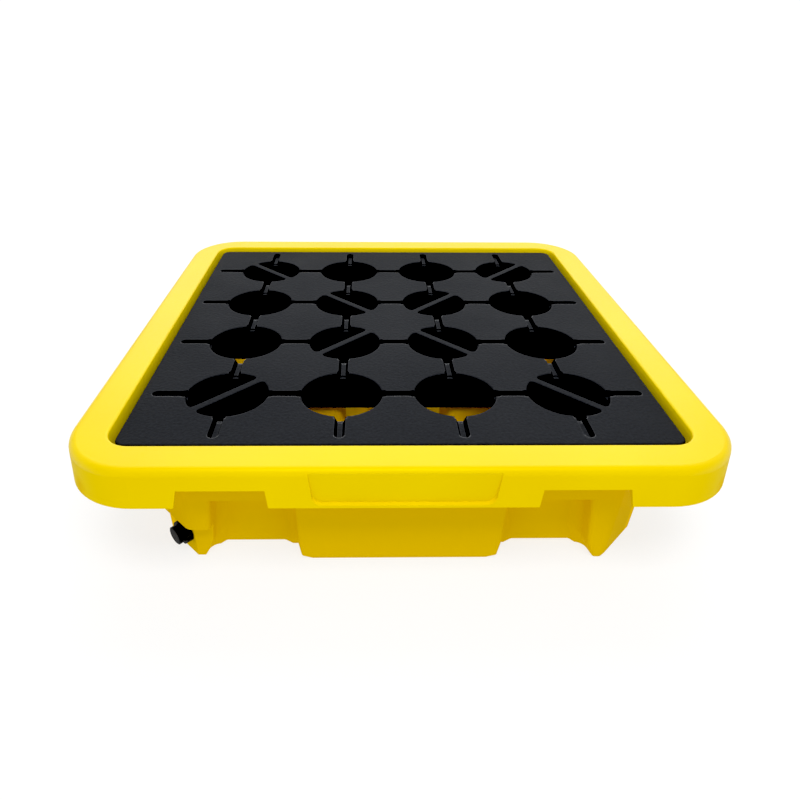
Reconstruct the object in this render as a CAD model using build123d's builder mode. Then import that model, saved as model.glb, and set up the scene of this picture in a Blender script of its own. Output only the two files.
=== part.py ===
"""One-drum spill containment pallet: a moulded sump, a lift-out deck grate and a corner drain.

Frame: origin at the middle of the footprint, on the floor. +Z is up, -Y is the front, where the
label panel is, and the drain is in the front left corner. Sizes are in millimetres.
"""

import math
import os

from build123d import *

# ---------------------------------------------------------------- driving dimensions
RIM_SIZE = 658.0  # outside of the skirt at the level of the rim's top, both ways
HEIGHT = 148.5  # floor to the top of the rim
OPENING = 580.0  # inside the rim, both ways
RIM_CORNER = 74.0  # plan radius of the rim's outer corner
RIM_ROUND = 8.0  # rolled outer top edge
LIP_ROUND = 2.5  # rolled inner top edge
SKIRT_DROP = 42.0  # the skirt hangs this far below the rim's top
SKIRT_DRAFT = 5.4  # degrees, outwards going down
SHELL = 5.0  # thickness of rim and skirt
WALL = 6.0  # thickness of the tub's walls and floor

WELL_CORNER = 26.0  # plan radius of the opening's corner
LEDGE_Z = 125.0  # the corner ledges that carry the deck's corners
RECESS_TOP = 86.0  # top of the recesses in the tub's sides
FOOT_SPLAY = 5.0  # the feet's inner sides lean in this much towards the recess
FLARE_Z = 22.0  # below this the feet narrow faster towards the floor
TOE_Z = 6.0  # below this every wall turns in to a softened bottom edge
CHAMFER_ROUND = 16.0  # plan radius where the corner chamfers meet the faces
RECESS_ROUND = 13.0  # plan radius of the recesses' inner corners
CHANNEL_MIDDLE = 157.0  # shallow channels across the underside
CHANNEL_ROOF = 64.0
CHANNEL_FOOT = 80.0
CHANNEL_RISE = 6.3
CHANNEL_ROUND = 5.0

POST_TOP = 85.0  # hollow posts under the deck's ribs and webs
POST_SIZE = 58.0
POST_OFFSET = 94.0
POST_SPOTS = [(0, 0)] + [(x, y) for x in (-POST_OFFSET, POST_OFFSET) for y in (-POST_OFFSET, POST_OFFSET)]
POST_CORNER = 11.0
POST_DRAFT = 3.0  # degrees

NOTCH_NEAR = 129.7  # hand notches in the skirt, from the middle
NOTCH_FAR = 211.8
NOTCH_NEAR_SPLAY = 2.0  # the notches widen this much towards the middle at the bottom
NOTCH_FAR_SPLAY = 4.5  # and this much away from it
NOTCH_TOP = 126.0
NOTCH_DEPTH = 15.0
PANEL_TOP_HALF = 90.0  # label panel on the front skirt
PANEL_FOOT_HALF = 85.0
PANEL_BOTTOM = 110.3
PANEL_FACE = 328.7  # from the middle to the panel, which is upright
PANEL_DRAFT = 15.0  # degrees on the panel's edges
PANEL_CORNER = 9.0

DECK_TOP = 143.6
DECK_SIZE = 566.0
DECK_CORNER = 12.0
DECK_ROUND = 2.5
DECK_PLATE = 4.5
DECK_EDGE = 4.5  # thickness of the deck's short edge wall
HOLE_PITCH = 125.6
HOLE_RADIUS = 44.5
HOLE_ROUND = 2.0
HOLE_COLLAR = 4.0
COLLAR_DROP = 13.0
RIB = 4.5
RIB_REACH = 253.4  # the deep part of a rib ends here
BAR_WIDTH = 10.0
BAR_REACH = 236.0
SLOT_ROUND = 4.0  # corners of the slots on each side of a bar
GROOVE_WIDTH = 11.0
GROOVE_FLOOR = 5.2
GROOVE_DEPTH = 5.8
GROOVE_END_X = 271.0
GROOVE_END_Y = 272.0
GROOVE_WALL = 4.0
MOUTH_RADIUS = 7.2
MOUTH_FLOOR = 3.4
MOUTH_DEPTH = 7.2
LIFT_GAP = 0.3  # the deck stands this far off its posts and ledges in the model

DRAIN_HEIGHT = 27.5
DRAIN_SIDE = 35.0  # the drain's distance along the chamfer from the corner's diagonal
DRAIN_FACE = 358.5  # from the middle to the drain's flat, along the diagonal
POCKET_TOP = 46.0
POCKET_FRONT = 289.0
POCKET_SIDE = 254.0
POCKET_END = 180.0
POCKET_BACK = 226.0
BORE_RADIUS = 10.45  # 1/2 in pipe thread
THREAD_RADIUS = 10.40
THREAD_PITCH = 1.814
THREAD_DEPTH = 1.1
INSERT_RADIUS = 13.2
INSERT_LENGTH = 18.0
BOSS_RADIUS = 18.5
INSERT_KEY = 16.2  # corner radius of the hexagon that keys the insert into the boss
INSERT_KEY_DEPTH = 6.0
INSERT_KEY_THICK = 5.0
SEAT_GAP = 0.2  # between the insert, the gasket and the plug's head
GASKET_THICK = 2.0
GASKET_RADIUS = 13.0
GASKET_BORE = 10.8
HEAD_RADIUS = 13.4
HEAD_HEIGHT = 5.5
HEAD_LOBES = 8
HEAD_ROUND = 1.4
LOBE_CUT = 3.0
CUP_RADIUS = 7.5
CUP_DEPTH = 3.0
SHANK_LENGTH = 15.0

HALF = RIM_SIZE / 2 + SKIRT_DROP * math.tan(math.radians(SKIRT_DRAFT))
CHANNEL_TAPER = math.degrees(math.atan((CHANNEL_FOOT - CHANNEL_ROOF) / 2 / CHANNEL_RISE))
TOUCH = 0.01  # points closer than this are the same corner
DECK_UNDER = LEDGE_Z + LIFT_GAP
RIB_UNDER = POST_TOP + LIFT_GAP
PLATE_UNDER = DECK_TOP - DECK_PLATE
HOLE_LINES = [HOLE_PITCH * (n - 1.5) for n in range(4)]
RIB_LINES = [HOLE_PITCH * (n - 2) for n in range(5)]
THREAD_TURNS = int(SHANK_LENGTH / THREAD_PITCH)
GROOVE_TAPER = math.degrees(math.atan((GROOVE_WIDTH - GROOVE_FLOOR) / 2 / GROOVE_DEPTH))
DIAGONAL = math.sqrt(2)

DRAIN_PLANE = Plane(
    origin=(
        (DRAIN_SIDE - DRAIN_FACE) / DIAGONAL,
        (-DRAIN_SIDE - DRAIN_FACE) / DIAGONAL,
        DRAIN_HEIGHT,
    ),
    x_dir=(1, -1, 0),
    z_dir=(-1, -1, 0),
)
SKIRT_PLANES = [
    Plane(origin=(HALF * x, HALF * y, 0), x_dir=(-y, x, 0), z_dir=(x, y, 0))
    for x, y in ((0, -1), (1, 0), (0, 1), (-1, 0))
]


# ---------------------------------------------------------------- plan outlines of the tub
def four_ways(quadrant):
    """Mirror the front right quadrant's points to a closed outline, anticlockwise from the front."""
    right = quadrant + [(x, -y) for x, y in reversed(quadrant)]
    left = [(-x, y) for x, y in reversed(right)]
    return right + left


def tub_outline(z, face, back_y, back_x, block, foot, corner, edge_round, chamfer_round):
    """Plan of the tub at height z, with its middle blocks, corner feet and recesses.

    face is the distance of the outer faces from the middle, back_y that of the front and rear
    recesses and back_x that of the side recesses. block is half the width of a middle block, foot
    is where a corner foot starts, and corner is x + y on the corner chamfer.
    """
    block_edge = (block, -face)
    block_root = (block, -back_y)
    foot_root = (foot - FOOT_SPLAY, -back_y)
    foot_edge = (foot, -face)
    chamfer_front = (corner - face, -face)
    chamfer_side = (back_x, back_x - corner)
    side_root = (back_x, -block)
    side_edge = (face, -block)
    quadrant = [block_edge, block_root, foot_root, foot_edge]
    quadrant += [chamfer_front, chamfer_side, side_root, side_edge]
    with BuildSketch(Plane.XY.offset(z)) as outline:
        with BuildLine():
            Polyline(four_ways(quadrant), close=True)
        make_face()
        for points, radius in (
            ((block_edge, foot_edge, side_edge), edge_round),
            ((chamfer_front, chamfer_side), chamfer_round),
            ((block_root, foot_root, side_root), RECESS_ROUND),
        ):
            corners = outline.vertices().filter_by(
                lambda v: any(math.dist((abs(v.X), -abs(v.Y)), point) < TOUCH for point in points)
            )
            fillet(corners, radius)
    return outline.sketch


def plain_outline(z, face, corner):
    """Plan of the tub above its recesses: a square with chamfered corners."""
    with BuildSketch(Plane.XY.offset(z)) as outline:
        Rectangle(2 * face, 2 * face)
        chamfer(outline.vertices(), 2 * face - corner)
        fillet(outline.vertices(), CHAMFER_ROUND)
    return outline.sketch


def drain_pocket_plan(inset):
    """Plan of the material that the drain's pocket takes off the front left corner.

    inset moves the pocket's faces inwards, to leave a wall behind them.
    """
    front = POCKET_FRONT - inset
    side = POCKET_SIDE - inset
    flat = (DRAIN_FACE - inset) * DIAGONAL
    with BuildSketch(Plane.XY) as plan:
        with BuildLine():
            Polyline(
                (-HALF, -HALF),
                (-POCKET_END, -HALF),
                (-POCKET_END, -front),
                (front - flat, -front),
                (-side, side - flat),
                (-side, -POCKET_BACK),
                (-HALF, -POCKET_BACK),
                close=True,
            )
        make_face()
    return plan.sketch


# ---------------------------------------------------------------- hollows of the sump
with BuildPart() as skirt_hollow:
    with BuildSketch(Plane.XY.offset(HEIGHT - SHELL)):
        RectangleRounded(RIM_SIZE - 2 * SHELL, RIM_SIZE - 2 * SHELL, RIM_CORNER - SHELL)
    extrude(amount=SHELL - SKIRT_DROP - 1, taper=-SKIRT_DRAFT)
    fillet(skirt_hollow.faces().sort_by(Axis.Z)[-1].edges(), RIM_ROUND - SHELL)
    # the skirt is thicker behind the label panel
    with Locations((0, -HALF, HEIGHT / 2)):
        Box(2 * (PANEL_TOP_HALF + SHELL), 2 * (HALF - PANEL_FACE + SHELL), HEIGHT, mode=Mode.SUBTRACT)

with BuildPart() as tub_hollow:
    loft(
        sections=[
            tub_outline(
                z=WALL,
                face=289,
                back_y=266.5,
                back_x=258.5,
                block=96,
                foot=212,
                corner=508.5,
                edge_round=2,
                chamfer_round=5,
            ),
            tub_outline(
                z=RECESS_TOP + WALL,
                face=289.8,
                back_y=269,
                back_x=261,
                block=103,
                foot=199,
                corner=511,
                edge_round=5,
                chamfer_round=CHAMFER_ROUND,
            ),
        ],
        ruled=True,
    )
    loft(
        sections=[
            plain_outline(z=RECESS_TOP + WALL, face=289.8, corner=511),
            plain_outline(z=LEDGE_Z, face=289.8, corner=512),
        ],
        ruled=True,
    )
    # the floor steps up over the channels in the underside
    with Locations((0, 0, WALL)):
        with GridLocations(2 * CHANNEL_MIDDLE, 0, 2, 1):
            Box(CHANNEL_FOOT + WALL, 2 * HALF, 2 * CHANNEL_RISE, mode=Mode.SUBTRACT)
        with GridLocations(0, 2 * CHANNEL_MIDDLE, 1, 2):
            Box(2 * HALF, CHANNEL_FOOT + WALL, 2 * CHANNEL_RISE, mode=Mode.SUBTRACT)
    # posts that carry the deck's ribs and webs
    with BuildSketch(Plane.XY.offset(POST_TOP)):
        for spot in POST_SPOTS:
            with Locations(spot):
                RectangleRounded(POST_SIZE, POST_SIZE, POST_CORNER)
    extrude(amount=-POST_TOP, taper=-POST_DRAFT, mode=Mode.SUBTRACT)
    # wall behind the drain's pocket, and the boss that holds its insert
    extrude(drain_pocket_plan(WALL), amount=POCKET_TOP + WALL, mode=Mode.SUBTRACT)
    with BuildSketch(DRAIN_PLANE):
        Circle(BOSS_RADIUS)
    extrude(amount=-INSERT_LENGTH - 2, mode=Mode.SUBTRACT)

with BuildPart() as channel:
    with BuildSketch(Plane.XY):
        Rectangle(CHANNEL_FOOT, 4 * HALF)
    extrude(amount=CHANNEL_RISE, taper=CHANNEL_TAPER)
    fillet(channel.faces().sort_by(Axis.Z)[-1].edges().filter_by(Axis.Y), CHANNEL_ROUND)

# ---------------------------------------------------------------- drain
with BuildPart() as insert_body:
    with BuildSketch(DRAIN_PLANE):
        Circle(INSERT_RADIUS)
    extrude(amount=-INSERT_LENGTH)
    with BuildSketch(DRAIN_PLANE.offset(-INSERT_KEY_DEPTH)):
        RegularPolygon(INSERT_KEY, 6)
    extrude(amount=-INSERT_KEY_THICK)

with BuildPart() as drain_insert:
    add(insert_body.part)
    with BuildSketch(DRAIN_PLANE):
        Circle(BORE_RADIUS)
    extrude(amount=-INSERT_LENGTH, mode=Mode.SUBTRACT)
drain_insert.part.label = "drain_insert"

with BuildPart() as plug_gasket:
    with BuildSketch(DRAIN_PLANE.offset(SEAT_GAP)):
        Circle(GASKET_RADIUS)
        Circle(GASKET_BORE, mode=Mode.SUBTRACT)
    extrude(amount=GASKET_THICK)
    rings = plug_gasket.edges().filter_by(GeomType.CIRCLE)
    fillet(rings.group_by(SortBy.RADIUS)[-1], GASKET_THICK / 4)
plug_gasket.part.label = "plug_gasket"

HEAD_SEAT = 2 * SEAT_GAP + GASKET_THICK
# the plane through the plug's axis: local X is the radius, local Y runs outwards along the axis
PLUG_SECTION = Plane(origin=DRAIN_PLANE.origin, x_dir=(0, 0, 1), z_dir=(-1, 1, 0))

with BuildPart() as drain_plug:
    with BuildSketch(PLUG_SECTION):
        with BuildLine():
            thread = [(0, -SHANK_LENGTH), (THREAD_RADIUS - 2 * THREAD_DEPTH, -SHANK_LENGTH)]
            for turn in range(THREAD_TURNS):
                crest = (turn + 0.5) * THREAD_PITCH - SHANK_LENGTH
                thread.append((THREAD_RADIUS - THREAD_DEPTH, crest - THREAD_PITCH / 2))
                thread.append((THREAD_RADIUS, crest - THREAD_PITCH / 10))
                thread.append((THREAD_RADIUS, crest + THREAD_PITCH / 10))
            thread.append((THREAD_RADIUS - THREAD_DEPTH, THREAD_TURNS * THREAD_PITCH - SHANK_LENGTH))
            thread.append((THREAD_RADIUS - THREAD_DEPTH, HEAD_SEAT))
            thread.append((0, HEAD_SEAT))
            Polyline(thread, close=True)
        make_face()
    revolve(axis=Axis(DRAIN_PLANE.origin, DRAIN_PLANE.z_dir))
    with BuildSketch(DRAIN_PLANE.offset(HEAD_SEAT)) as head_plan:
        Circle(HEAD_RADIUS)
        with PolarLocations(HEAD_RADIUS + LOBE_CUT / 2, HEAD_LOBES):
            Circle(LOBE_CUT, mode=Mode.SUBTRACT)
        fillet(head_plan.vertices(), HEAD_ROUND)
    extrude(amount=HEAD_HEIGHT)
    head_top = drain_plug.faces().sort_by(Axis(DRAIN_PLANE.origin, DRAIN_PLANE.z_dir))[-1]
    fillet(head_top.edges(), HEAD_ROUND)
    with BuildSketch(DRAIN_PLANE.offset(HEAD_SEAT + HEAD_HEIGHT)):
        Circle(CUP_RADIUS)
    extrude(amount=-CUP_DEPTH, mode=Mode.SUBTRACT)
drain_plug.part.label = "drain_plug"

# ---------------------------------------------------------------- sump
with BuildPart() as sump:
    # rim and skirt
    with BuildSketch(Plane.XY.offset(HEIGHT)):
        RectangleRounded(RIM_SIZE, RIM_SIZE, RIM_CORNER)
    extrude(amount=-SKIRT_DROP, taper=-SKIRT_DRAFT)
    fillet(sump.faces().sort_by(Axis.Z)[-1].edges(), RIM_ROUND)
    add(skirt_hollow.part, mode=Mode.SUBTRACT)
    # tub
    loft(
        sections=[
            tub_outline(
                z=0,
                face=294.5,
                back_y=272.5,
                back_x=263.5,
                block=96,
                foot=211,
                corner=513.5,
                edge_round=3,
                chamfer_round=6,
            ),
            tub_outline(
                z=TOE_Z,
                face=297.5,
                back_y=273,
                back_x=264.5,
                block=105.5,
                foot=208,
                corner=517,
                edge_round=4,
                chamfer_round=10,
            ),
            tub_outline(
                z=FLARE_Z,
                face=298.3,
                back_y=273.5,
                back_x=265.5,
                block=108,
                foot=201,
                corner=518,
                edge_round=5,
                chamfer_round=14,
            ),
            tub_outline(
                z=RECESS_TOP,
                face=299.5,
                back_y=275.5,
                back_x=267.5,
                block=109.5,
                foot=193,
                corner=520.5,
                edge_round=5,
                chamfer_round=CHAMFER_ROUND,
            ),
        ],
        ruled=True,
    )
    loft(
        sections=[
            plain_outline(z=RECESS_TOP, face=299.5, corner=520.5),
            plain_outline(z=HEIGHT - SHELL, face=302, corner=522),
        ],
        ruled=True,
    )
    with BuildSketch(Plane.XY.offset(LEDGE_Z - WALL)):
        RectangleRounded(OPENING + 2 * WALL, OPENING + 2 * WALL, WELL_CORNER + WALL)
    extrude(amount=HEIGHT - SHELL - LEDGE_Z + WALL)
    # the opening and the hollow of the tub
    with BuildSketch(Plane.XY.offset(HEIGHT)):
        RectangleRounded(OPENING, OPENING, WELL_CORNER)
    extrude(amount=LEDGE_Z - HEIGHT, mode=Mode.SUBTRACT)
    fillet(sump.faces().sort_by(Axis.Z)[-1].inner_wires()[0].edges(), LIP_ROUND)
    add(tub_hollow.part, mode=Mode.SUBTRACT)
    # hollows of the posts, open below
    with BuildSketch(Plane.XY.offset(POST_TOP - WALL)):
        for spot in POST_SPOTS:
            with Locations(spot):
                RectangleRounded(
                    POST_SIZE - 2 * WALL, POST_SIZE - 2 * WALL, POST_CORNER - WALL
                )
    extrude(amount=WALL - POST_TOP, taper=-POST_DRAFT, mode=Mode.SUBTRACT)
    for middle in (-CHANNEL_MIDDLE, CHANNEL_MIDDLE):
        for turn in (0, 90):
            with Locations(Location((0, 0, 0), (0, 0, turn)) * Location((middle, 0, 0))):
                add(channel.part, mode=Mode.SUBTRACT)
    # drain pocket and the bore for its insert
    extrude(drain_pocket_plan(0), amount=POCKET_TOP, mode=Mode.SUBTRACT)
    add(insert_body.part, mode=Mode.SUBTRACT)
    with BuildSketch(DRAIN_PLANE):
        Circle(BORE_RADIUS)
    extrude(amount=-2 * INSERT_LENGTH, mode=Mode.SUBTRACT)
    # hand notches in all four skirts
    for plane in SKIRT_PLANES:
        with BuildSketch(plane):
            for side in (-1, 1):
                with BuildLine():
                    Polyline(
                        (side * (NOTCH_NEAR - NOTCH_NEAR_SPLAY), 0),
                        (side * (NOTCH_NEAR - NOTCH_NEAR_SPLAY), HEIGHT - SKIRT_DROP),
                        (side * NOTCH_NEAR, NOTCH_TOP),
                        (side * NOTCH_FAR, NOTCH_TOP),
                        (side * (NOTCH_FAR + NOTCH_FAR_SPLAY), HEIGHT - SKIRT_DROP),
                        (side * (NOTCH_FAR + NOTCH_FAR_SPLAY), 0),
                        close=True,
                    )
                make_face()
        extrude(amount=-NOTCH_DEPTH, mode=Mode.SUBTRACT)
    # label panel
    with BuildSketch(SKIRT_PLANES[0].offset(PANEL_FACE - HALF)) as panel:
        with BuildLine():
            Polyline(
                (-PANEL_TOP_HALF, HEIGHT),
                (-PANEL_FOOT_HALF, PANEL_BOTTOM),
                (PANEL_FOOT_HALF, PANEL_BOTTOM),
                (PANEL_TOP_HALF, HEIGHT),
                close=True,
            )
        make_face()
        fillet(panel.vertices().sort_by(Axis.Y)[:2], PANEL_CORNER)
    extrude(amount=HALF - PANEL_FACE, taper=-PANEL_DRAFT, mode=Mode.SUBTRACT)
sump.part.label = "sump"

# ---------------------------------------------------------------- deck
with BuildPart() as diagonal_bar:
    with Locations((0, 0, (PLATE_UNDER + RIB_UNDER) / 2)):
        Box(2 * BAR_REACH * DIAGONAL, BAR_WIDTH, PLATE_UNDER - RIB_UNDER)

# drain grooves from hole to hole and out towards the edge, left out inside the holes
with BuildPart() as drain_grooves:
    for line in HOLE_LINES:
        with BuildSketch(Plane.XY.offset(DECK_TOP)):
            with Locations((0, line)):
                SlotOverall(2 * GROOVE_END_X, GROOVE_WIDTH)
        extrude(amount=-GROOVE_DEPTH, taper=GROOVE_TAPER)
        with BuildSketch(Plane.XY.offset(DECK_TOP)):
            with Locations((line, 0)):
                SlotOverall(2 * GROOVE_END_Y, GROOVE_WIDTH, rotation=90)
        extrude(amount=-GROOVE_DEPTH, taper=GROOVE_TAPER)
    with Locations((0, 0, DECK_TOP)):
        with GridLocations(HOLE_PITCH, HOLE_PITCH, 4, 4):
            Cylinder(HOLE_RADIUS - HOLE_ROUND, 4 * GROOVE_DEPTH, mode=Mode.SUBTRACT)

with BuildPart() as deck_grate:
    # plate with a short wall round its edge
    with BuildSketch(Plane.XY.offset(DECK_TOP)):
        RectangleRounded(DECK_SIZE, DECK_SIZE, DECK_CORNER)
    extrude(amount=DECK_UNDER - DECK_TOP)
    fillet(deck_grate.faces().sort_by(Axis.Z)[-1].edges(), DECK_ROUND)
    with BuildSketch(Plane.XY.offset(PLATE_UNDER)):
        RectangleRounded(DECK_SIZE - 2 * DECK_EDGE, DECK_SIZE - 2 * DECK_EDGE, DECK_CORNER - DECK_EDGE)
    extrude(amount=DECK_UNDER - PLATE_UNDER, mode=Mode.SUBTRACT)
    # collars round the holes and channels under the grooves
    with BuildSketch(Plane.XY.offset(PLATE_UNDER)):
        with GridLocations(HOLE_PITCH, HOLE_PITCH, 4, 4):
            Circle(HOLE_RADIUS + HOLE_COLLAR)
        for line in HOLE_LINES:
            with Locations((0, line)):
                Rectangle(2 * GROOVE_END_X + GROOVE_WALL, GROOVE_WIDTH + 2 * GROOVE_WALL)
            with Locations((line, 0)):
                Rectangle(GROOVE_WIDTH + 2 * GROOVE_WALL, 2 * GROOVE_END_Y + GROOVE_WALL)
    extrude(amount=DECK_PLATE - COLLAR_DROP)
    # ribs between the rows of holes: deep in the tub, shallow out to the edge wall
    for line in RIB_LINES:
        for length, under in ((2 * RIB_REACH, RIB_UNDER), (DECK_SIZE - DECK_EDGE, DECK_UNDER)):
            with Locations((line, 0, (PLATE_UNDER + under) / 2)):
                Box(RIB, length, PLATE_UNDER - under)
            with Locations((0, line, (PLATE_UNDER + under) / 2)):
                Box(length, RIB, PLATE_UNDER - under)
    # holes with rolled edges; a bar crosses each hole on the diagonals
    with BuildSketch(Plane.XY.offset(DECK_TOP)) as holes:
        with GridLocations(HOLE_PITCH, HOLE_PITCH, 4, 4):
            Circle(HOLE_RADIUS)
        for turn in (45, 135):
            with Locations(Location((0, 0, 0), (0, 0, turn))):
                Rectangle(2 * BAR_REACH * DIAGONAL, BAR_WIDTH, mode=Mode.SUBTRACT)
        slot_corners = holes.vertices().filter_by(
            lambda v: abs(abs(abs(v.X) - abs(v.Y)) / DIAGONAL - BAR_WIDTH / 2) < TOUCH
        )
        fillet(slot_corners, SLOT_ROUND)
    extrude(amount=-HEIGHT, mode=Mode.SUBTRACT)
    rims = deck_grate.faces().sort_by(Axis.Z)[-1].inner_wires().edges()
    fillet(rims, HOLE_ROUND)
    # drain grooves, flared at each hole
    add(drain_grooves.part, mode=Mode.SUBTRACT)
    for hole in GridLocations(HOLE_PITCH, HOLE_PITCH, 4, 4):
        with Locations(hole):
            with PolarLocations(HOLE_RADIUS + 1, 4):
                with Locations((0, 0, DECK_TOP - MOUTH_DEPTH / 2)):
                    Cone(MOUTH_FLOOR, MOUTH_RADIUS, MOUTH_DEPTH, mode=Mode.SUBTRACT)
    # deep webs under the diagonal bars
    for turn in (45, 135):
        with Locations(Location((0, 0, 0), (0, 0, turn))):
            add(diagonal_bar.part)
deck_grate.part.label = "deck_grate"

# ---------------------------------------------------------------- files
os.makedirs("parts", exist_ok=True)
for piece in (sump, deck_grate, drain_insert, plug_gasket, drain_plug):
    export_step(piece.part, f"parts/{piece.part.label}.step")
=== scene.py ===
"""Low-profile spill pallet: materials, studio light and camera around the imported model."""

import math

import bpy
from mathutils import Matrix, Vector

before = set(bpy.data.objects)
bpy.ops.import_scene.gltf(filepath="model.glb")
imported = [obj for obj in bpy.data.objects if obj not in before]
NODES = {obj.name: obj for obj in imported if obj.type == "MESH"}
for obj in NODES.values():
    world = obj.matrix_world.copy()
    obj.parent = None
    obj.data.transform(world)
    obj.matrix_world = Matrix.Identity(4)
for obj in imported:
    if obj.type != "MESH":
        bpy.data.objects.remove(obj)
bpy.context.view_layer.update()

MM = 0.001

# Linear colours of the mouldings.
YELLOW = (0.77, 0.575, 0.001)
YELLOW_DEEP = (0.74, 0.535, 0.001)
YELLOW_WORN = (0.82, 0.66, 0.03)
# Painted shade: the tub under the rim, darker and more orange than the rim.
YELLOW_TUB_SHADE = (0.73, 0.475, 0.0005)
# Painted light: the inside of the tub, seen through the deck, brighter and more orange.
YELLOW_INSIDE_LIT = (0.95, 0.60, 0.001)
# Painted light: the upright wall of the rim's opening, painted brighter.
YELLOW_LIP_LIT = (0.98, 0.74, 0.001)
YELLOW_SHEEN = (1.0, 0.86, 0.02)
CHARCOAL = (0.0055, 0.0062, 0.0082)
CHARCOAL_PALE = (0.0150, 0.0168, 0.0210)
# Wear on the deck's edges, kept mostly to edges facing the back window, so also a painted highlight.
CHARCOAL_WORN_HIGHLIGHT = (0.060, 0.064, 0.072)
# Painted shade: the deck's upright walls, near-black.
CHARCOAL_STEEP_SHADE = (0.0012, 0.0012, 0.0014)
FITTING_BLACK = (0.0012, 0.0012, 0.0014)
FITTING_WORN = (0.0040, 0.0040, 0.0045)
RUBBER_BLACK = (0.004, 0.004, 0.004)
FLOOR_WHITE = (0.20, 0.20, 0.20)

# Where the sump's finish, its painted shade and its painted light change, as heights and as distances
# from the middle line.
TUB_LINE = (118.0 * MM, 128.0 * MM)  # the tub's painted shade and duller finish fade out between these heights, and the painted light on the opening's wall comes in
TUB_WALL = (258.0 * MM, 264.0 * MM)  # the painted light inside the tub ends and the painted shade on its outside begins
SKIRT_WALL = (318.0 * MM, 308.0 * MM)  # the skirt ends and the tub begins
OPENING_WALL = (292.5 * MM, 290.5 * MM)  # the rim's top ends and the opening's wall, painted brighter as painted light, begins
ROLLED_EDGE = (140.0 * MM, 147.0 * MM)  # the rim's rolled edge, where the sheen comes in

TUB_ROUGHER = 0.35
SKIRT_GLOSS = 0.01
RIM_GLOSS = 0.42
DECK_GLOSS = 0.08
DECK_EDGE_GLOSS = 0.75
DECK_EDGE_SMOOTHER = 0.36
BACK_TURN = (0.02, 0.16)  # how far an edge turns to the back before it counts as facing it
OTHER_EDGES = 0.12  # what the rest of the edges keep

FLOOR_SIDE = 60.0
FLOOR_DROP = 0.2 * MM  # keeps the floor clear of the feet
FLOOR_NEAR = 0.8  # the floor's own glow rises to full white between these distances
FLOOR_FAR = 2.6
FLOOR_GLOW = 0.79
HORIZON_LIGHT = 1.05
HORIZON_TOP = 0.10  # the room dims between these heights of the view direction
ROOM_BOTTOM = 0.30
ROOM_LIGHT = 0.40

LIGHT_TARGET = (0.0, 0.0, 0.1)

CAMERA_PLACE = (-0.0362, -0.7654, 0.5006)
CAMERA_PITCH = 32.36  # degrees down
CAMERA_YAW = 1.13  # degrees to the right
CAMERA_ROLL = -0.55  # degrees
CAMERA_LENS = 27.63  # mm, on a sensor this wide
CAMERA_SENSOR = 36.0
CAMERA_SHIFT = 0.030
BLACK_LEVEL = 0.005


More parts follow.
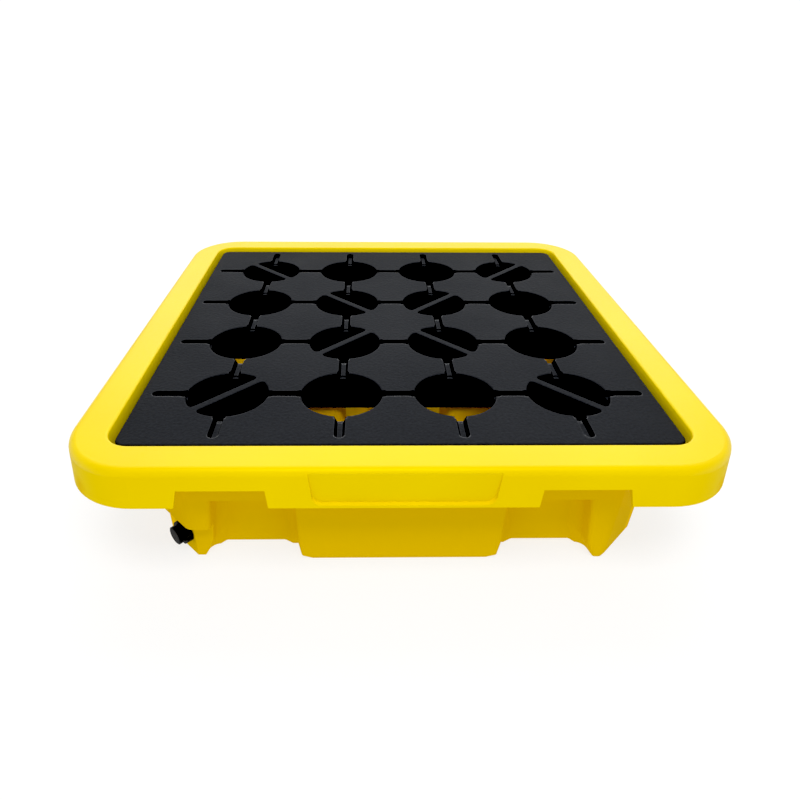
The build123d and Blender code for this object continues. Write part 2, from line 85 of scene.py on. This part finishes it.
class Graph:
    """A material's node tree, with short calls for the nodes that the finishes share."""

    def __init__(self, name):
        self.material = bpy.data.materials.new(name)
        self.material.use_nodes = True
        self.tree = self.material.node_tree
        self.tree.nodes.clear()
        self.output = self.node("ShaderNodeOutputMaterial")
        self.shader = self.node("ShaderNodeBsdfPrincipled")
        self.link(self.shader.outputs["BSDF"], self.output.inputs["Surface"])
        self.place = self.node("ShaderNodeTexCoord").outputs["Object"]

    def node(self, kind, **settings):
        made = self.tree.nodes.new(kind)
        for key, value in settings.items():
            setattr(made, key, value)
        return made

    def link(self, source, target):
        self.tree.links.new(source, target)

    def constants(self, **values):
        for key, value in values.items():
            self.shader.inputs[key.replace("_", " ")].default_value = value

    def axes(self, vector):
        """The x, y and z of a vector."""
        split = self.node("ShaderNodeSeparateXYZ")
        self.link(vector, split.inputs["Vector"])
        return split.outputs["X"], split.outputs["Y"], split.outputs["Z"]

    def level(self):
        """1 where the surface faces straight up or down, 0 where it is upright."""
        upward = self.axes(self.node("ShaderNodeNewGeometry").outputs["True Normal"])[2]
        return self.maths("ABSOLUTE", upward, 0)

    def stretched(self, scale):
        mapping = self.node("ShaderNodeMapping")
        mapping.inputs["Scale"].default_value = scale
        self.link(self.place, mapping.inputs["Vector"])
        return mapping.outputs["Vector"]

    def noise(self, size, detail=3.0, rough=0.55, vector=None):
        """Noise whose lumps are about size metres across."""
        made = self.node("ShaderNodeTexNoise")
        self.link(vector or self.place, made.inputs["Vector"])
        made.inputs["Scale"].default_value = 1.0 / size
        made.inputs["Detail"].default_value = detail
        made.inputs["Roughness"].default_value = rough
        return made.outputs["Fac"]

    def cells(self, size):
        """Soft round cells about size metres across."""
        made = self.node("ShaderNodeTexVoronoi", feature="SMOOTH_F1")
        self.link(self.place, made.inputs["Vector"])
        made.inputs["Scale"].default_value = 1.0 / size
        return made.outputs["Distance"]

    def span(self, source, low, high, start=0.0, end=1.0):
        """source from low..high mapped to start..end, clamped."""
        made = self.node("ShaderNodeMapRange")
        self.link(source, made.inputs["Value"])
        for key, value in (("From Min", low), ("From Max", high), ("To Min", start), ("To Max", end)):
            made.inputs[key].default_value = value
        return made.outputs["Result"]

    def maths(self, operation, first, second):
        made = self.node("ShaderNodeMath", operation=operation)
        for socket, value in zip(made.inputs, (first, second)):
            if isinstance(value, (int, float)):
                socket.default_value = value
            else:
                self.link(value, socket)
        return made.outputs["Value"]

    def product(self, first, second):
        """The two multiplied, each a number or a socket."""
        return self.maths("MULTIPLY", first, second)

    def mix(self, factor, first, second):
        """Colour between first and second, each a colour or a socket."""
        made = self.node("ShaderNodeMix", data_type="RGBA")
        self.link(factor, made.inputs["Factor"])
        for socket, value in ((made.inputs["A"], first), (made.inputs["B"], second)):
            self.colour(socket, value)
        return made.outputs["Result"]

    def colour(self, socket, value):
        sockets = [s for s in socket.node.inputs if s.name == socket.name and s.type == "RGBA"]
        target = sockets[0] if sockets else socket
        if isinstance(value, tuple):
            target.default_value = (*value, 1.0)
        else:
            self.link(value, target)

    def edges(self, radius, least=0.99, most=0.8, facing_back=False):
        """0 on flat faces, rising to 1 within radius of an edge; least and most set how sharp.

        facing_back keeps mostly to the edges that roll over towards the back, where the window is.
        """
        soft = self.node("ShaderNodeBevel", samples=6)
        soft.inputs["Radius"].default_value = radius
        flat = self.node("ShaderNodeNewGeometry")
        dot = self.node("ShaderNodeVectorMath", operation="DOT_PRODUCT")
        self.link(soft.outputs["Normal"], dot.inputs[0])
        self.link(flat.outputs["Normal"], dot.inputs[1])
        sharp = self.span(dot.outputs["Value"], least, most)
        if not facing_back:
            return sharp
        backward = self.axes(soft.outputs["Normal"])[1]
        return self.product(sharp, self.span(backward, *BACK_TURN, OTHER_EDGES, 1.0))

    def bump(self, height, strength, distance, below=None):
        made = self.node("ShaderNodeBump")
        made.inputs["Strength"].default_value = strength
        made.inputs["Distance"].default_value = distance
        self.link(height, made.inputs["Height"])
        if below:
            self.link(below, made.inputs["Normal"])
        return made.outputs["Normal"]

    def finish(self, colour, roughness, normal):
        self.link(colour, self.shader.inputs["Base Color"])
        self.link(roughness, self.shader.inputs["Roughness"])
        self.link(normal, self.shader.inputs["Normal"])
        return self.material


def yellow_polyethylene():
    """Satin on the rim and duller on the tub below it; painted shade makes the tub darker and more
    orange, painted light makes its inside brighter and more orange, and painted light brightens the
    opening's upright wall.
    """
    g = Graph("yellow_polyethylene")
    cloud = g.span(g.noise(0.16, detail=2), 0.3, 0.7)
    speckle = g.span(g.noise(0.004, detail=4), 0.35, 0.75)
    x, y, z = g.axes(g.place)
    reach = g.maths("MAXIMUM", g.maths("ABSOLUTE", x, 0), g.maths("ABSOLUTE", y, 0))
    tub = g.product(g.span(z, *TUB_LINE, 1.0, 0.0), g.span(reach, *SKIRT_WALL))
    opening = g.product(g.span(reach, *OPENING_WALL), g.span(z, *TUB_LINE))
    # The opening's upright wall is painted brighter: painted light.
    lit_lip = g.product(opening, g.span(g.level(), 0.7, 0.3))
    rim_tint_and_lit_lip = g.mix(lit_lip, g.mix(cloud, YELLOW, YELLOW_DEEP), YELLOW_LIP_LIT)
    # Inside the tub it is painted brighter and more orange as painted light; outside, under the rim,
    # darker and more orange as painted shade.
    tub_light_and_shade = g.mix(g.span(reach, *TUB_WALL), YELLOW_INSIDE_LIT, YELLOW_TUB_SHADE)
    tint = g.mix(tub, rim_tint_and_lit_lip, tub_light_and_shade)
    streaks = g.noise(0.05, detail=6, rough=0.7, vector=g.stretched((3.0, 0.7, 1.0)))
    scuffs = g.span(streaks, 0.60, 0.72)
    paler_edges = g.product(g.product(g.edges(1.6 * MM), scuffs), 0.5)
    colour = g.mix(paler_edges, tint, YELLOW_WORN)
    rough = g.maths("ADD", g.span(speckle, 0.0, 1.0, 0.34, 0.44), g.product(scuffs, 0.10))
    rough = g.maths("ADD", rough, g.product(tub, TUB_ROUGHER))
    peel = g.bump(g.noise(0.0026, detail=2), 0.16, 0.25 * MM)
    waves = g.bump(g.noise(0.09, detail=1), 0.25, 1.2 * MM, below=peel)
    sheen = g.span(z, *ROLLED_EDGE, SKIRT_GLOSS, RIM_GLOSS)
    g.link(sheen, g.shader.inputs["Specular IOR Level"])
    g.constants(IOR=1.51, Specular_Tint=(*YELLOW_SHEEN, 1.0))
    return g.finish(colour, rough, waves)


def black_polyethylene():
    """A leathery top that has gone a little pale, polished edges with a painted highlight where they
    face the back window, and upright walls painted near-black as painted shade.
    """
    g = Graph("black_polyethylene")
    cloud = g.span(g.noise(0.11, detail=3), 0.3, 0.7)
    mottle = g.span(g.noise(0.0035, detail=5, rough=0.75), 0.40, 0.66)
    level = g.span(g.level(), 0.45, 0.90)
    tint = g.mix(mottle, CHARCOAL, CHARCOAL_PALE)
    edge = g.edges(1.8 * MM, 0.998, 0.93, facing_back=True)
    # Paler wear on the edges, kept mostly to those facing the back window: also a painted highlight.
    paler_edges = g.product(edge, g.span(g.noise(0.012, detail=4), 0.35, 0.7))
    top = g.mix(g.product(paler_edges, 0.6), tint, CHARCOAL_WORN_HIGHLIGHT)
    # Upright walls are painted near-black: painted shade.
    colour = g.mix(level, CHARCOAL_STEEP_SHADE, top)
    rough = g.maths("ADD", g.span(cloud, 0.0, 1.0, 0.58, 0.66), g.product(mottle, 0.10))
    rough = g.maths("SUBTRACT", rough, g.product(edge, DECK_EDGE_SMOOTHER))
    gloss = g.maths("ADD", g.product(level, DECK_GLOSS), g.product(edge, DECK_EDGE_GLOSS))
    g.link(g.product(gloss, level), g.shader.inputs["Specular IOR Level"])
    leather = g.maths("ADD", g.cells(0.0030), g.product(g.noise(0.0014, detail=3), 0.6))
    grain = g.bump(leather, 0.8, 0.6 * MM)
    waves = g.bump(g.noise(0.12, detail=1), 0.2, 1.0 * MM, below=grain)
    g.constants(IOR=1.5)
    return g.finish(colour, rough, waves)


def black_fitting(name, base, smooth, rough, grain_size):
    """A small black part; smooth and rough are the ends of its roughness."""
    g = Graph(name)
    mottle = g.span(g.noise(0.003, detail=4), 0.35, 0.7)
    tint = g.mix(g.product(mottle, 0.35), base, FITTING_WORN)
    colour = g.mix(g.product(g.edges(0.5 * MM), 0.5), tint, FITTING_WORN)
    grain = g.bump(g.noise(grain_size, detail=3), 0.3, 0.12 * MM)
    g.constants(IOR=1.49, Specular_IOR_Level=0.04)
    return g.finish(colour, g.span(mottle, 0.0, 1.0, smooth, rough), grain)


def dress(node, material):
    for slot in NODES[node].material_slots:
        slot.material = material


def add_floor():
    """A pale floor whose own glow keeps the shadow faint and fades into the white room."""
    mesh = bpy.data.meshes.new("floor")
    corners = [(x * FLOOR_SIDE, y * FLOOR_SIDE, 0) for x, y in ((-1, -1), (1, -1), (1, 1), (-1, 1))]
    mesh.from_pydata(corners, [], [(0, 1, 2, 3)])
    floor = bpy.data.objects.new("floor", mesh)
    floor.location.z = -FLOOR_DROP
    bpy.context.scene.collection.objects.link(floor)
    g = Graph("studio_floor")
    g.constants(Base_Color=(*FLOOR_WHITE, 1.0), Roughness=0.9, Specular_IOR_Level=0.1)
    g.constants(Emission_Color=(1.0, 1.0, 1.0, 1.0))
    distance = g.node("ShaderNodeVectorMath", operation="LENGTH")
    g.link(g.place, distance.inputs[0])
    glow = g.span(distance.outputs["Value"], FLOOR_NEAR, FLOOR_FAR, FLOOR_GLOW, 1.0)
    g.link(glow, g.shader.inputs["Emission Strength"])
    mesh.materials.append(g.material)


def add_area_light(name, place, size, watts, colour=(1.0, 1.0, 1.0)):
    light = bpy.data.lights.new(name, "AREA")
    light.shape = "RECTANGLE"
    light.size, light.size_y = size
    light.energy = watts
    light.color = colour
    lamp = bpy.data.objects.new(name, light)
    lamp.location = place
    aim = Vector(LIGHT_TARGET) - Vector(place)
    lamp.rotation_euler = aim.to_track_quat("-Z", "Y").to_euler()
    bpy.context.scene.collection.objects.link(lamp)


def add_world():
    """A pale room: white round the horizon, dimmer above it."""
    world = bpy.data.worlds.new("studio")
    world.use_nodes = True
    nodes, links = world.node_tree.nodes, world.node_tree.links
    place = nodes.new("ShaderNodeTexCoord")
    split = nodes.new("ShaderNodeSeparateXYZ")
    fade = nodes.new("ShaderNodeMapRange")
    links.new(place.outputs["Generated"], split.inputs["Vector"])
    links.new(split.outputs["Z"], fade.inputs["Value"])
    fade.inputs["From Min"].default_value = HORIZON_TOP
    fade.inputs["From Max"].default_value = ROOM_BOTTOM
    fade.inputs["To Min"].default_value = HORIZON_LIGHT
    fade.inputs["To Max"].default_value = ROOM_LIGHT
    background = nodes["Background"]
    background.inputs["Color"].default_value = (1.0, 1.0, 1.0, 1.0)
    links.new(fade.outputs["Result"], background.inputs["Strength"])
    bpy.context.scene.world = world


def add_camera():
    """In front of the pallet's middle and half a metre up, looking down on it."""
    pitch, yaw, roll = (math.radians(a) for a in (CAMERA_PITCH, CAMERA_YAW, CAMERA_ROLL))
    level_forward = Vector((math.sin(yaw), math.cos(yaw), 0.0))
    forward = level_forward * math.cos(pitch) - Vector((0.0, 0.0, math.sin(pitch)))
    right = Vector((math.cos(yaw), -math.sin(yaw), 0.0))
    down = forward.cross(right)
    tilted_right = math.cos(roll) * right + math.sin(roll) * down
    tilted_down = math.cos(roll) * down - math.sin(roll) * right
    turn = Matrix((tilted_right, -tilted_down, -forward)).transposed().to_4x4()
    lens = bpy.data.cameras.new("camera")
    lens.lens = CAMERA_LENS
    lens.sensor_width = CAMERA_SENSOR
    lens.shift_x = CAMERA_SHIFT
    camera = bpy.data.objects.new("camera", lens)
    camera.matrix_world = Matrix.Translation(Vector(CAMERA_PLACE)) @ turn
    bpy.context.scene.collection.objects.link(camera)
    bpy.context.scene.camera = camera


def set_view():
    """Plain colours, with the darkest tones pressed to black."""
    look = bpy.context.scene.view_settings
    look.view_transform = "Standard"
    look.use_curve_mapping = True
    look.curve_mapping.black_level = (BLACK_LEVEL, BLACK_LEVEL, BLACK_LEVEL)
    look.curve_mapping.update()


dress("sump", yellow_polyethylene())
dress("deck_grate", black_polyethylene())
dress("drain_insert", black_fitting("black_insert", FITTING_BLACK, 0.40, 0.55, 0.0016))
dress("plug_gasket", black_fitting("black_rubber", RUBBER_BLACK, 0.65, 0.80, 0.0008))
dress("drain_plug", black_fitting("black_plug", FITTING_BLACK, 0.38, 0.52, 0.0014))

add_floor()
add_world()
add_area_light("window", place=(0.1, 1.5, 1.6), size=(3.0, 2.0), watts=42, colour=(0.96, 0.98, 1.0))
add_area_light("key", place=(0.05, -1.0, 1.9), size=(1.2, 0.8), watts=27)
add_camera()
set_view()
